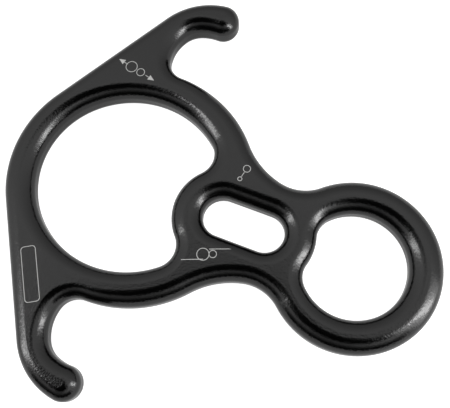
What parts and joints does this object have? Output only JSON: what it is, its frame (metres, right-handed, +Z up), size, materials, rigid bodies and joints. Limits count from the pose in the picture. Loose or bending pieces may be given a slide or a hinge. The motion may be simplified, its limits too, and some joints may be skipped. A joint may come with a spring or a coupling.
{
  "type": "figure eight descender",
  "caption": "Forged figure eight descender with a large rope ring, a slotted bridge, a small carabiner eye and hooked ears.",
  "frame": {"origin": "on the surface it lies on, under the middle of its length and width", "axes": "+X along the middle line from the rope ring to the carabiner eye, +Y towards the left ear, +Z up from the back face"},
  "size_m": [0.176, 0.172, 0.014],
  "materials": {
    "anodised_black": "black anodised over a tumbled forging, satin gloss"
  },
  "bodies": {
    "root": {"descender_forging": "anodised_black"}
  },
  "joints": []
}
